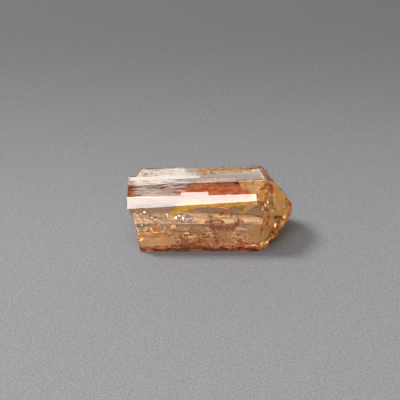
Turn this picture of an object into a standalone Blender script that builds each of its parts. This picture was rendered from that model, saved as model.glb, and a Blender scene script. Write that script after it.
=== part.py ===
"""An imperial topaz crystal: one striated prism with an etched tip and a cleaved end.

Metres, +Z up. The crystal lies on its lowest prism face with its tip along +X, and
the origin is at the middle of the bottom of its box. The front is towards -Y.

A crystal grows as flat faces, each at its own distance from the middle, so the solid
starts as a block and every face is one plane cut. The faces then get their growth
lines and etching, and rough cutters take the cleavage steps, chips and pits away.
"""

import math
import random
from collections import namedtuple

import bmesh
import bpy
from mathutils import Matrix, Vector, noise

MM = 0.001

# The length axis of the crystal, above the surface that it lies on.
BREAK_X = -10.87 * MM       # the cleaved end
SHOULDER_X = 6.01 * MM      # where the prism faces end and the tip begins
AXIS_Y = 0.515 * MM
AXIS_HEIGHT = 3.71 * MM
BLOCK_SIZE = 60.0 * MM      # the block that the faces are cut from
SPLIT_GAP = 1e-7            # how near to a plane a point counts as on it

# A prism face runs the length of the crystal. Its angle is that of its outward
# direction in the cross-section, in degrees up from the front, and its distances
# from the axis are taken at the break and at the shoulder.
PrismFace = namedtuple("PrismFace", "name angle at_break at_shoulder strips groove")
PRISM_FACES = (
    PrismFace("lower front", -18.5, 6.66 * MM, 6.66 * MM, 0, 0.0),
    PrismFace("front", 0.2, 6.93 * MM, 6.93 * MM, 8, 0.030 * MM),
    PrismFace("front bevel", 43.6, 7.07 * MM, 7.87 * MM, 2, 0.006 * MM),
    PrismFace("top", 85.0, 4.666 * MM, 5.346 * MM, 9, 0.030 * MM),
    PrismFace("upper top", 88.9, 4.492 * MM, 5.172 * MM, 8, 0.022 * MM),
    PrismFace("top back", 103.5, 4.39 * MM, 5.23 * MM, 9, 0.050 * MM),
    PrismFace("upper back", 161.5, 6.16 * MM, 4.36 * MM, 13, 0.090 * MM),
    PrismFace("back", 180.2, 5.90 * MM, 5.60 * MM, 9, 0.090 * MM),
    PrismFace("back bevel", 223.6, 5.00 * MM, 4.75 * MM, 7, 0.050 * MM),
)
ROUGH_PRISM_FACE = "lower front"
CROSS_BREAKS = 11           # places along a prism face where its growth lines change
UNEVEN = (0.4, 1.6)         # narrowest and widest strip or cell, as a share of the mean
FAINT_LINE = 0.25           # every other growth line is at most this share of a groove
LINE_RUN = 4.0 * MM         # how far a growth line keeps its depth
LINE_SHIFT = 3.7            # sets the growth lines apart in the noise that varies them
LINE_BIAS = 0.55            # raises the depths, so that few growth lines die out

# A tip face leans back from the axis. It is cut square to a direction that makes
# the lean with the axis, through the point where it would cross the axis.
TipFace = namedtuple("TipFace", "name angle lean crossing")
TIP_FACES = (
    TipFace("lower front tip", -18.5, 37.0, 11.31 * MM),
    TipFace("front tip", 43.6, 35.3, 11.31 * MM),
    TipFace("upper tip", 105.7, 42.0, 11.50 * MM),
    TipFace("upper shoulder", 100.0, 49.0, 12.43 * MM),
    TipFace("crest tip", 112.0, 33.0, 11.03 * MM),
    TipFace("back tip", 161.5, 40.0, 11.21 * MM),
    TipFace("back bevel tip", 223.6, 38.0, 11.31 * MM),
    TipFace("under tip", 285.7, 38.8, 11.38 * MM),
    TipFace("cap", -45.0, 13.0, 10.78 * MM),
)

# The break is stepped: each step is a block taken off the end. A block is given by the
# planes that bound it inside the crystal, each as a point and an outward direction.
STEPS = (
    ("front step", (((-9.97, -6.42, 5.27), (0.868, 0.06, 0.494)),
                    ((-9.97, -6.42, 5.27), (0.985, 0.10, 0.147)))),
    ("upper step", (((-10.87, 0.30, 8.30), (0.965, -0.235, 0.10)),
                    ((0.0, 2.1, 4.6), (0.0, 0.25, -0.97)))),
    ("middle step", (((-10.62, 0.0, 0.0), (1.0, -0.04, 0.02)),
                     ((0.0, -1.6, 4.4), (0.0, -0.97, 0.25)),
                     ((0.0, 3.4, 4.4), (0.0, 0.9, 0.4)),
                     ((0.0, 0.0, 6.3), (0.0, 0.1, 0.99)))),
)

# A shallow ledge beside the front bevel, level with it but set into the crystal.
LEDGE_FROM_X = -4.04 * MM
LEDGE_TO_X = -0.38 * MM
LEDGE_DEPTH = 0.56 * MM
LEDGE_END_SLANT = 0.15

# A groove along the crest, between the top face and the one behind it.
CREST_GROOVE_FROM_X = -2.9 * MM
CREST_GROOVE_TO_X = 5.35 * MM
CREST_GROOVE_DEPTH = 0.12 * MM
CREST_GROOVE_INSET = 0.30 * MM
CREST_GROOVE_LEANS = (32.0, -12.0)      # its rear and front wall, in degrees from the face
CREST_GROOVE_TURN = 0.6                 # how far it strays from the crest, in degrees

# Rows of chips. A chip is a rough lump pressed into the surface, so it leaves a
# shell-shaped hollow. Places are given by x and by the angle in the cross-section.
ChipRow = namedtuple("ChipRow",
                     "name count detail x_from x_to angle_from angle_to width depth")
CHIP_ROWS = (
    ChipRow("torn crest", 22, 3, -10.6 * MM, -3.2 * MM, 93.0, 134.0,
            (0.8 * MM, 1.5 * MM), (0.12 * MM, 0.34 * MM)),
    ChipRow("torn corner", 5, 3, -11.0 * MM, -10.3 * MM, 84.0, 136.0,
            (1.0 * MM, 1.4 * MM), (0.70 * MM, 1.00 * MM)),
    ChipRow("broken foot", 24, 2, -5.2 * MM, 6.2 * MM, -33.0, -7.0,
            (0.8 * MM, 1.7 * MM), (0.12 * MM, 0.32 * MM)),
    ChipRow("worn foot", 6, 2, -9.4 * MM, -5.4 * MM, -34.0, -28.0,
            (0.6 * MM, 1.0 * MM), (0.10 * MM, 0.20 * MM)),
    ChipRow("worn back", 6, 3, -9.0 * MM, 5.0 * MM, 165.0, 225.0,
            (0.7 * MM, 1.3 * MM), (0.10 * MM, 0.22 * MM)),
    ChipRow("worn tip", 12, 2, 6.9 * MM, 10.2 * MM, -60.0, 150.0,
            (0.5 * MM, 0.9 * MM), (0.05 * MM, 0.14 * MM)),
)
LUMP_FLATNESS = 0.55        # the height of a lump as a share of its width
LUMP_DENT = 0.20            # how far a lump's surface wanders, as a share of its size
LUMP_WAVES = 1.6            # how many dents a lump has across it
LUMP_STRETCH = (0.7, 1.4)
CHIP_SPREAD = (0.1, 0.9)    # where a chip lies in its own stretch of the row

# Etch pits on the tip: x, angle in the cross-section, half width and depth.
PITS = (
    (8.45 * MM, 28.0, 0.34 * MM, 0.26 * MM),
    (9.20 * MM, 4.0, 0.42 * MM, 0.24 * MM),
    (9.60 * MM, -14.0, 0.30 * MM, 0.20 * MM),
    (8.05 * MM, -30.0, 0.34 * MM, 0.26 * MM),
    (7.35 * MM, 62.0, 0.30 * MM, 0.20 * MM),
    (8.60 * MM, 92.0, 0.36 * MM, 0.22 * MM),
    (7.90 * MM, 150.0, 0.40 * MM, 0.24 * MM),
    (8.80 * MM, 205.0, 0.36 * MM, 0.22 * MM),
)

# Etched and broken surfaces are split into small cells and let down unevenly.
TIP_CELL = 0.50 * MM
TIP_ETCHING = 0.36 * MM
ROUGH_CELL = 0.50 * MM
ROUGH_DEPTH = 0.30 * MM
BREAK_CELL = 0.70 * MM
BREAK_DEPTH = 0.20 * MM
EDGE_FADE = 0.40 * MM       # relief fades to nothing this near to an edge
ETCH_HILL = 0.9 * MM        # distance between etch hills
ETCH_TOP = 1.1              # above 1, so that some valleys have flat floors
ETCH_SHARE = 0.65           # how much of the etching is hills; the rest is grain
GRAIN_SIZE = 0.45 * MM
HACKLE_STEP = 1.5 * MM      # distance between the swells of a broken surface
HACKLE_SWELL = 1.2
HACKLE_GRAIN = 0.6
HACKLE_GRAIN_SIZE = 0.5 * MM
HACKLE_SHIFT = Vector((7.0, 3.0, 1.0))
NOISE_SPAN = 100.0          # the range that a random start in the noise is taken from
PIT_TURN = 20.0             # degrees between one pit's corners and the next one's
NEARLY_SQUARE = 0.1         # below this, a face counts as square to the length axis

FACE_SEED = 4
CHIP_SEED = 11

CRYSTAL_COLOUR = (0.93, 0.52, 0.22, 1.0)
CRYSTAL_ROUGHNESS = 0.06


def clear_scene():
    """Removes every object, so that only the crystal is left."""
    for item in list(bpy.data.objects):
        bpy.data.objects.remove(item, do_unlink=True)


def section_direction(angle):
    """The outward direction in the cross-section, turned up from the front."""
    turn = math.radians(angle)
    return Vector((0.0, -math.cos(turn), math.sin(turn)))


def prism_plane(face):
    """A point and the outward normal of a prism face."""
    outward = section_direction(face.angle)
    slope = (face.at_shoulder - face.at_break) / (SHOULDER_X - BREAK_X)
    point = Vector((BREAK_X, AXIS_Y, AXIS_HEIGHT)) + outward * face.at_break
    return point, (outward - Vector((slope, 0.0, 0.0))).normalized()


def tip_plane(face):
    """A point and the outward normal of a tip face."""
    lean = math.radians(face.lean)
    forward = Vector((math.cos(lean), 0.0, 0.0))
    normal = forward + section_direction(face.angle) * math.sin(lean)
    return Vector((face.crossing, AXIS_Y, AXIS_HEIGHT)), normal


def body_planes():
    """Every flat face of the crystal by name, as a point and an outward normal."""
    planes = {"rest": (Vector((0.0, 0.0, 0.0)), Vector((0.0, 0.0, -1.0)))}
    planes["break"] = (Vector((BREAK_X, 0.0, 0.0)), Vector((-1.0, 0.0, 0.0)))
    for face in PRISM_FACES:
        planes[face.name] = prism_plane(face)
    for face in TIP_FACES:
        planes[face.name] = tip_plane(face)
    return planes


def cut_block(planes, size=BLOCK_SIZE):
    """A block cut by planes. Each face keeps the place of its plane in the list."""
    mesh = bmesh.new()
    bmesh.ops.create_cube(mesh, size=size)
    label = mesh.faces.layers.int.new("plane")
    for place, (point, normal) in enumerate(planes, start=1):
        whole = mesh.verts[:] + mesh.edges[:] + mesh.faces[:]
        cut = bmesh.ops.bisect_plane(mesh, geom=whole, dist=SPLIT_GAP, plane_co=point,
                                     plane_no=normal, clear_outer=True)
        rim = [part for part in cut["geom_cut"] if isinstance(part, bmesh.types.BMEdge)]
        for face in bmesh.ops.contextual_create(mesh, geom=rim)["faces"]:
            face[label] = place
    return mesh, label


def split_face(mesh, label, place, direction, positions):
    """Splits one labelled face along lines square to a direction."""
    for position in positions:
        faces = [face for face in mesh.faces if face[label] == place]
        parts = set(faces)
        for face in faces:
            parts.update(face.edges)
            parts.update(face.verts)
        bmesh.ops.bisect_plane(mesh, geom=list(parts), dist=SPLIT_GAP,
                               plane_co=direction * position, plane_no=direction)


def reach(mesh, label, place, direction):
    """The lowest and highest place of a labelled face along a direction."""
    along = [corner.co.dot(direction) for face in mesh.faces if face[label] == place
             for corner in face.verts]
    return min(along), max(along)


def uneven_steps(low, high, count, rng):
    """Places between two ends, at uneven distances."""
    widths = [rng.uniform(*UNEVEN) for _ in range(count)]
    scale = (high - low) / sum(widths)
    places = []
    here = low
    for width in widths[:-1]:
        here += width * scale
        places.append(here)
    return places


def inset_of(point, planes, own):
    """How far a point is inside the nearest plane that isn't its own."""
    return min((start - point).dot(normal) for place, (start, normal) in planes.items()
               if place not in own)


def lower_inner_points(mesh, label, places, planes, depth_at):
    """Lets down the points inside each labelled face along its normal, but not its rim.

    The depth fades towards the other faces, so the edges between faces stay sharp.
    """
    moves = []
    for corner in mesh.verts:
        own = {face[label] for face in corner.link_faces}
        if len(own) == 1 and own <= places:
            fade = min(1.0, inset_of(corner.co, planes, own) / EDGE_FADE)
            normal = planes[min(own)][1]
            moves.append((corner, normal * depth_at(corner.co) * fade))
    for corner, move in moves:
        corner.co -= move


def striate(mesh, label, place, planes, face, rng):
    """Lengthwise growth lines: strips whose meeting lines sit at uneven depths."""
    normal = planes[place][1]
    along = (Vector((1.0, 0.0, 0.0)) - normal * normal.x).normalized()
    across = normal.cross(along)
    low, high = reach(mesh, label, place, across)
    lines = uneven_steps(low, high, face.strips, rng)
    split_face(mesh, label, place, across, lines)
    start, end = reach(mesh, label, place, along)
    crossings = uneven_steps(start, end, CROSS_BREAKS, rng)
    split_face(mesh, label, place, along, crossings)
    depths = [rng.uniform(0.0, 1.0 if row % 2 else FAINT_LINE) for row in range(len(lines))]
    start_at = rng.uniform(0.0, NOISE_SPAN)

    def depth_at(point):
        nearest = min(range(len(lines)), key=lambda row: abs(lines[row] - point.dot(across)))
        run = noise.noise(Vector((point.x / LINE_RUN, nearest * LINE_SHIFT, start_at)))
        return face.groove * depths[nearest] * max(0.0, LINE_BIAS + run)

    lower_inner_points(mesh, label, {place}, planes, depth_at)


def grid_face(mesh, label, place, normal, cell, rng):
    """Splits a face into uneven cells."""
    along = Vector((1.0, 0.0, 0.0)) - normal * normal.x
    if along.length < NEARLY_SQUARE:
        along = Vector((0.0, 1.0, 0.0))
    along.normalize()
    for direction in (along, normal.cross(along)):
        low, high = reach(mesh, label, place, direction)
        count = max(2, round((high - low) / cell))
        split_face(mesh, label, place, direction, uneven_steps(low, high, count, rng))


def etch_depth(point):
    """Etching between 0 and 1: hills with rounded tops and narrow valleys."""
    spread = noise.voronoi(point / ETCH_HILL)[0]
    hills = min(1.0, spread[0] * ETCH_TOP)
    grain = (1.0 + noise.noise(point / GRAIN_SIZE)) / 2.0
    return ETCH_SHARE * hills * hills + (1.0 - ETCH_SHARE) * grain


def hackle_depth(point):
    """The relief of a broken surface between 0 and 1: swells with sharp crests."""
    swell = abs(noise.noise(point / HACKLE_STEP))
    grain = abs(noise.noise(point / HACKLE_GRAIN_SIZE + HACKLE_SHIFT))
    return min(1.0, HACKLE_SWELL * swell + HACKLE_GRAIN * grain)


def crystal_mesh():
    """The whole crystal before its chips are taken."""
    named = body_planes()
    mesh, label = cut_block(list(named.values()))
    places = {name: place for place, name in enumerate(named, start=1)}
    planes = {places[name]: plane for name, plane in named.items()}
    rng = random.Random(FACE_SEED)
    for face in PRISM_FACES:
        if face.name != ROUGH_PRISM_FACE:
            striate(mesh, label, places[face.name], planes, face, rng)
    etched = {places[face.name] for face in TIP_FACES}
    broken = {places[ROUGH_PRISM_FACE]}
    cleaved = {places["break"]}
    for group, cell in ((etched, TIP_CELL), (broken, ROUGH_CELL), (cleaved, BREAK_CELL)):
        for place in sorted(group):
            grid_face(mesh, label, place, planes[place][1], cell, rng)
    lower_inner_points(mesh, label, etched, planes, lambda p: TIP_ETCHING * etch_depth(p))
    lower_inner_points(mesh, label, broken, planes, lambda p: ROUGH_DEPTH * hackle_depth(p))
    lower_inner_points(mesh, label, cleaved, planes, lambda p: BREAK_DEPTH * hackle_depth(p))
    bmesh.ops.triangulate(mesh, faces=mesh.faces[:])
    return mesh


def surface_point(planes, x, angle):
    """The point of the uncut crystal at x, straight out from the axis, and its normal."""
    start = Vector((x, AXIS_Y, AXIS_HEIGHT))
    ray = section_direction(angle)
    hits = []
    for point, normal in planes:
        toward = ray.dot(normal)
        if toward > 0.0:
            hits.append(((point - start).dot(normal) / toward, normal))
    distance, normal = min(hits, key=lambda hit: hit[0])
    return start + ray * distance, normal


def add_cutter(name, mesh, collection):
    """Makes an object that only cuts, with its faces pointing out."""
    if mesh.calc_volume(signed=True) < 0.0:
        bmesh.ops.reverse_faces(mesh, faces=mesh.faces[:])
    shape = bpy.data.meshes.new(name)
    mesh.to_mesh(shape)
    mesh.free()
    cutter = bpy.data.objects.new(name, shape)
    cutter.display_type = "WIRE"
    cutter.hide_render = True
    collection.objects.link(cutter)


def add_steps(collection):
    """The blocks whose loss leaves the stepped break."""
    for name, bounds in STEPS:
        planes = [(Vector(point) * MM, Vector(normal).normalized())
                  for point, normal in bounds]
        mesh, _ = cut_block(planes)
        add_cutter(name, mesh, collection)


def add_ledge(planes, collection):
    """The block whose loss leaves the ledge beside the front bevel."""
    point, outward = planes["front bevel"]
    top_point, top_normal = planes["top"]
    edge = top_normal.cross(outward).normalized()
    downward = edge.cross(outward)
    to_top = (top_point - point).dot(top_normal) / downward.dot(top_normal)
    start = point + downward * to_top
    first, last = [start + edge * ((x - start.x) / edge.x)
                   for x in (LEDGE_FROM_X, LEDGE_TO_X)]
    slant = downward * LEDGE_END_SLANT
    bounds = [
        (first, -(edge + slant).normalized()),
        (last, (edge - slant).normalized()),
        (point - outward * LEDGE_DEPTH, -outward),
        (start, downward),
    ]
    mesh, _ = cut_block(bounds)
    add_cutter("bevel ledge", mesh, collection)


def add_crest_groove(planes, collection):
    """The wedge whose loss leaves the groove along the crest."""
    point, outward = planes["upper top"]
    rear_point, rear_normal = planes["top back"]
    edge = rear_normal.cross(outward).normalized()
    forward = outward.cross(edge)
    to_rear = (rear_point - point).dot(rear_normal) / forward.dot(rear_normal)
    start = point + forward * to_rear
    start -= forward * math.copysign(CREST_GROOVE_INSET, to_rear)
    start -= outward * CREST_GROOVE_DEPTH
    edge = Matrix.Rotation(math.radians(CREST_GROOVE_TURN), 3, outward) @ edge
    bounds = []
    for lean in CREST_GROOVE_LEANS:
        wall = Matrix.Rotation(math.radians(lean), 3, edge) @ outward
        bounds.append((start, -wall))
    for x, facing in ((CREST_GROOVE_FROM_X, -1.0), (CREST_GROOVE_TO_X, 1.0)):
        bounds.append((Vector((x, 0.0, 0.0)), Vector((facing, 0.0, 0.0))))
    mesh, _ = cut_block(bounds)
    add_cutter("crest groove", mesh, collection)


def turn_to(normal, spin):
    """The turn that takes +Z to a normal, after a spin about +Z."""
    return normal.to_track_quat("Z", "Y").to_matrix() @ Matrix.Rotation(spin, 3, "Z")


def lump_mesh(row, point, normal, rng):
    """One chip: a rough, flattened ball that reaches some way into the surface."""
    mesh = bmesh.new()
    bmesh.ops.create_icosphere(mesh, subdivisions=row.detail, radius=1.0)
    offset = Vector((rng.uniform(0.0, NOISE_SPAN), 0.0, 0.0))
    for corner in mesh.verts:
        corner.co *= 1.0 + LUMP_DENT * noise.noise(corner.co * LUMP_WAVES + offset)
    width = rng.uniform(*row.width)
    stretch = rng.uniform(*LUMP_STRETCH)
    size = Vector((width * stretch, width / stretch, width * LUMP_FLATNESS))
    turn = turn_to(normal, rng.uniform(0.0, math.pi))
    centre = point + normal * (size.z - rng.uniform(*row.depth))
    for corner in mesh.verts:
        corner.co = centre + turn @ (corner.co * size)
    return mesh


def add_chips(planes, collection, rng):
    """Every row of chips."""
    for row in CHIP_ROWS:
        for number in range(row.count):
            share = (number + rng.uniform(*CHIP_SPREAD)) / row.count
            x = row.x_from + (row.x_to - row.x_from) * share
            angle = rng.uniform(row.angle_from, row.angle_to)
            point, normal = surface_point(planes, x, angle)
            mesh = lump_mesh(row, point, normal, rng)
            add_cutter(f"{row.name} {number + 1}", mesh, collection)


def add_pits(planes, collection):
    """Four-sided etch pits on the tip."""
    for number, (x, angle, half_width, depth) in enumerate(PITS, start=1):
        point, normal = surface_point(planes, x, angle)
        mesh = bmesh.new()
        bmesh.ops.create_cone(mesh, cap_ends=True, segments=4, radius1=2.0 * half_width,
                              radius2=0.0, depth=2.0 * depth)
        turn = turn_to(-normal, math.radians(PIT_TURN * number))
        for corner in mesh.verts:
            corner.co = point + turn @ corner.co
        add_cutter(f"etch pit {number}", mesh, collection)


def crystal_material():
    """Clear orange crystal."""
    material = bpy.data.materials.new("topaz")
    material.use_nodes = True
    shader = material.node_tree.nodes["Principled BSDF"]
    shader.inputs["Base Color"].default_value = CRYSTAL_COLOUR
    shader.inputs["Roughness"].default_value = CRYSTAL_ROUGHNESS
    shader.inputs["Metallic"].default_value = 0.0
    return material


def main():
    clear_scene()
    collection = bpy.data.collections.new("imperial topaz crystal")
    cutters = bpy.data.collections.new("cutters")
    for group in (collection, cutters):
        bpy.context.scene.collection.children.link(group)
    shape = bpy.data.meshes.new("topaz_crystal")
    mesh = crystal_mesh()
    mesh.to_mesh(shape)
    mesh.free()
    crystal = bpy.data.objects.new("topaz_crystal", shape)
    collection.objects.link(crystal)
    shape.materials.append(crystal_material())
    planes = body_planes()
    rng = random.Random(CHIP_SEED)
    add_steps(cutters)
    add_ledge(planes, cutters)
    add_crest_groove(planes, cutters)
    add_chips(list(planes.values()), cutters, rng)
    add_pits(list(planes.values()), cutters)
    chips = crystal.modifiers.new("chips", "BOOLEAN")
    chips.operation = "DIFFERENCE"
    chips.solver = "EXACT"
    chips.operand_type = "COLLECTION"
    chips.collection = cutters


main()
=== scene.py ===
# %% [markdown]
# # An imperial topaz crystal
# Imperial topaz is the golden to reddish orange kind of topaz. This one is a stubby prism
# with a pointed growth tip at one end and a stepped cleavage break at the other. It lies on
# a pale studio floor between softboxes. The solid model gives its size and main faces, so
# the first step loads that model as a fixed frame.

# %% Load the solid model as a frame
import math

import bmesh
import bpy
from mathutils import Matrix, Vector


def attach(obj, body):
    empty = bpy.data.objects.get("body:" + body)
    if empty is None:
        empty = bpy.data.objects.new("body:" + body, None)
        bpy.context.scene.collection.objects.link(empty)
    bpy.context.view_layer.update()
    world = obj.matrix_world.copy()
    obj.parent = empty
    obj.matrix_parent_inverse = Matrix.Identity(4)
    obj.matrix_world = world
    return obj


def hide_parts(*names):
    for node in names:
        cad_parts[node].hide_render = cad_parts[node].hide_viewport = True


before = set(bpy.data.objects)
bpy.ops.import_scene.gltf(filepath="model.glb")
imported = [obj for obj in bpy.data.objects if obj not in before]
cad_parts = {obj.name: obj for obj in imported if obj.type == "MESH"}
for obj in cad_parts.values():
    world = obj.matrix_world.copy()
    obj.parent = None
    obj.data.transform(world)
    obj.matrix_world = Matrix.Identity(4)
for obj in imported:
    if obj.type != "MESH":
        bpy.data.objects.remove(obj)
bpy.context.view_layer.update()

MM = 0.001

# %% [markdown]
# ## Node trees written as sums
# A finish is a small program of nodes. It could be wired up by hand, one link at a time, but
# then nobody can read it. Here a class wraps one output and overloads the arithmetic signs,
# so a mask can be written as 1 - (height - edge) * sharpness.


# %% A wire that stands in a sum
class Wire:
    """One output of a node, which can stand in a sum."""

    def __init__(self, graph, socket):
        self.graph = graph
        self.socket = socket

    def out(self, name):
        """Another output of the same node."""
        return Wire(self.graph, self.socket.node.outputs[name])

    def __add__(self, other):
        return self.graph.maths("ADD", self, other)

    __radd__ = __add__

    def __sub__(self, other):
        return self.graph.maths("SUBTRACT", self, other)

    def __rsub__(self, other):
        return self.graph.maths("SUBTRACT", other, self)

    def __mul__(self, other):
        return self.graph.maths("MULTIPLY", self, other)

    __rmul__ = __mul__

    def __truediv__(self, other):
        return self.graph.maths("DIVIDE", self, other)

    def __rtruediv__(self, other):
        return self.graph.maths("DIVIDE", other, self)


print("wires can be added, subtracted, multiplied and divided, with numbers on either side")

# %% [markdown]
# ## One method that makes a node
# Every other node comes from one method. Its settings are set first, because they decide
# which sockets the node has. The helpers after it are the few nodes that come back often: an
# eased step, a mix of two colours, one part of a vector and a cloud of noise of a given size.


# %% A graph
class Graph:
    """A node tree, shader or geometry, with one way to add a node to it."""

    def __init__(self, tree):
        self.tree = tree

    def node(self, kind, settings=None, inputs=None):
        """Adds a node and gives back the first output that its settings leave on."""
        made = self.tree.nodes.new(kind)
        for name, value in (settings or {}).items():
            if name == "stops":
                self.set_stops(made.color_ramp, value)
            else:
                setattr(made, name, value)
        for key, value in (inputs or {}).items():
            if isinstance(value, Wire):
                self.tree.links.new(value.socket, made.inputs[key])
            else:
                made.inputs[key].default_value = value
        live = [socket for socket in made.outputs if socket.enabled]
        return Wire(self, live[0]) if live else made

    def set_stops(self, ramp, stops):
        while len(ramp.elements) < len(stops):
            ramp.elements.new(1.0)
        for element, (place, colour) in zip(ramp.elements, stops):
            element.position = place
            element.color = (*colour, 1.0)

    def maths(self, operation, *values):
        return self.node("ShaderNodeMath", {"operation": operation}, dict(enumerate(values)))

    def vector(self, operation, *values):
        return self.node("ShaderNodeVectorMath", {"operation": operation},
                         dict(enumerate(values)))

    def scaled(self, vector, amount):
        return self.node("ShaderNodeVectorMath", {"operation": "SCALE"},
                         {0: vector, "Scale": amount})

    def part(self, vector, axis):
        """The X, Y or Z of a vector."""
        return self.node("ShaderNodeSeparateXYZ", None, {0: vector}).out(axis)

    def ease(self, value, low, high):
        """0 below low, 1 above high and a smooth slope between them."""
        return self.node("ShaderNodeMapRange", {"interpolation_type": "SMOOTHSTEP"},
                         {0: value, 1: low, 2: high, 3: 0.0, 4: 1.0})

    def blend(self, amount, first, second):
        """A mix of two colours."""
        return self.node("ShaderNodeMix", {"data_type": "RGBA"},
                         {0: amount, 6: first, 7: second})

    def noise(self, place, size, detail):
        """A cloud whose lumps are about as wide as size."""
        return self.node("ShaderNodeTexNoise", None,
                         {"Vector": place, "Scale": 1 / size, "Detail": detail})


print("one method makes every node, whatever its kind")

# %% [markdown]
# ## The clear body
# The stone is one clear crystal, so its surface bends light by topaz's own index of
# refraction, and its colour is in its depth: a long path through it comes out deep orange
# and a short one pale. That is absorption in the volume. Paint on the surface could give the
# orange, but not the way that it deepens with thickness.

# %% The body's own numbers
TOPAZ_INDEX = 1.62
BODY_COLOUR = (0.985, 0.585, 0.06, 1.0)
BODY_DENSITY = 105.0
thickness = 5 * MM
let_through = [math.exp(-BODY_DENSITY * (1 - share) * thickness) for share in BODY_COLOUR[:3]]
print("5 mm of stone lets through", [round(share, 2) for share in let_through])

# %% [markdown]
# ## Where each surface lies
# A prism side, the etched tip, the broken end and the torn underside differ in finish, but
# all are one mesh. They could be split into materials by hand, face by face. The direction
# that a point faces tells them apart just as well, and it fades softly from one to the next.


# %% Masks for the kinds of surface
TIP_FACING = (0.45, 0.60)
BREAK_FACING = (0.80, 0.95)
UNDER_FACING = (0.2, 0.4)
FRONT_FACING = (0.3, 0.5)
UPPER_FACING = (0.5, 0.8)


class Zones:
    """How far a point of the skin belongs to each kind of surface, from 0 to 1."""

    def __init__(self, graph):
        self.place = graph.node("ShaderNodeTexCoord").out("Object")
        self.reach = graph.part(self.place, "X")
        self.height = graph.part(self.place, "Z")
        facing = graph.node("ShaderNodeNewGeometry").out("Normal")
        along, back, upward = [graph.part(facing, axis) for axis in "XYZ"]
        self.on_tip = graph.ease(along, *TIP_FACING)
        self.on_break = graph.ease(0 - along, *BREAK_FACING)
        self.on_side = 1 - graph.maths("MAXIMUM", self.on_tip, self.on_break)
        self.on_front = graph.ease(0 - back, *FRONT_FACING)
        self.on_upper = graph.ease(upward, *UPPER_FACING)
        self.underside = graph.ease(0 - upward, *UNDER_FACING) * (1 - self.on_tip)


tip_angle = math.degrees(math.acos(TIP_FACING[1]))
print("a face that looks within", round(tip_angle), "degrees of the point's way is all tip")

# %% [markdown]
# ## Growth lines and etching
# The prism faces carry hair-fine growth lines that run the length of the crystal, and the
# tip and the break are etched into a fine grain. Cut into the mesh, they would need millions
# of faces, so a bump gives them. The lines are noise, stretched fifty times along the prism.

# %% The fine relief
LINE_SPACING = 0.22 * MM
LINE_STRETCH = (0.02, 1.0, 1.0)
LINE_SHARE, TIP_GRAIN_SHARE = 0.6, 0.08
ETCH_SIZE = 0.5 * MM
RELIEF_DEPTH = 0.04 * MM
RELIEF_STRENGTH = 0.35


def fine_relief(graph, zones):
    stretched = graph.vector("MULTIPLY", zones.place, LINE_STRETCH)
    lines = graph.noise(stretched, LINE_SPACING, detail=3.0)
    grain = graph.noise(zones.place, ETCH_SIZE, detail=4.0)
    height = (lines * zones.on_side * LINE_SHARE + grain * zones.on_tip * TIP_GRAIN_SHARE
              + grain * zones.on_break)
    return graph.node("ShaderNodeBump", None, {"Strength": RELIEF_STRENGTH,
                                               "Distance": RELIEF_DEPTH, "Height": height})


print("growth lines about", round(LINE_SPACING / MM, 2), "mm apart")

# %% [markdown]
# ## Stains on the skin
# Iron has crept over the skin in places: amber on the tip, faint rusty streaks on the upper
# faces and salmon to straw under the stone. A clear surface that is tinted a little lets the
# same light through with a warmer colour, so each stain is a light tint that is mixed over
# the one before. Deep colours would look like paint.

# %% Amber, streaks and salmon
CLEAR = (1.0, 1.0, 1.0, 1.0)
CLOUD_SIZE = 1.6 * MM
DEEP_AMBER, PALE_AMBER = (1.0, 0.64, 0.10, 1), (1.0, 0.94, 0.40, 1)
STREAK_SIZE = 0.28 * MM
STREAK_STRETCH = (0.12, 1.0, 1.0)
STREAK_TINT = (0.86, 0.60, 0.50, 1)
STREAKS_STOP = (-7.0 * MM, -4.5 * MM)
DEEP_SALMON, PALE_SALMON = (1.0, 0.84, 0.70, 1), (1.0, 0.97, 0.92, 1)
BREAK_END, BREAK_END_TINT = (3.5 * MM, 5.0 * MM), (1.0, 0.86, 0.76, 1)
TIP_END, TIP_END_TINT = (4.0 * MM, 6.5 * MM), (1.0, 0.95, 0.72, 1)
# The parts of each noise between which one tint turns into the other
AMBER_SPLIT, STREAK_SPLIT, SALMON_SPLIT = (0.40, 0.60), (0.50, 0.58), (0.42, 0.60)


def skin_stains(graph, zones, cloud):
    amber = graph.blend(graph.ease(cloud, *AMBER_SPLIT), DEEP_AMBER, PALE_AMBER)
    skin_tint = graph.blend(zones.on_tip, CLEAR, amber)
    stretched = graph.vector("MULTIPLY", zones.place, STREAK_STRETCH)
    streaks = graph.noise(stretched, STREAK_SIZE, detail=2.0)
    near_break = 1 - graph.ease(zones.reach, *STREAKS_STOP)
    streaked = graph.ease(streaks, *STREAK_SPLIT) * zones.on_upper * near_break
    skin_tint = graph.blend(streaked, skin_tint, STREAK_TINT)
    salmon = graph.blend(graph.ease(streaks, *SALMON_SPLIT), DEEP_SALMON, PALE_SALMON)
    salmon = graph.blend(graph.ease(0 - zones.reach, *BREAK_END), salmon, BREAK_END_TINT)
    salmon = graph.blend(graph.ease(zones.reach, *TIP_END), salmon, TIP_END_TINT)
    return graph.blend(zones.underside, skin_tint, salmon)


print("stains in lumps of", CLOUD_SIZE / MM, "mm, streaks of", round(STREAK_SIZE / MM, 2), "mm")
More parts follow.
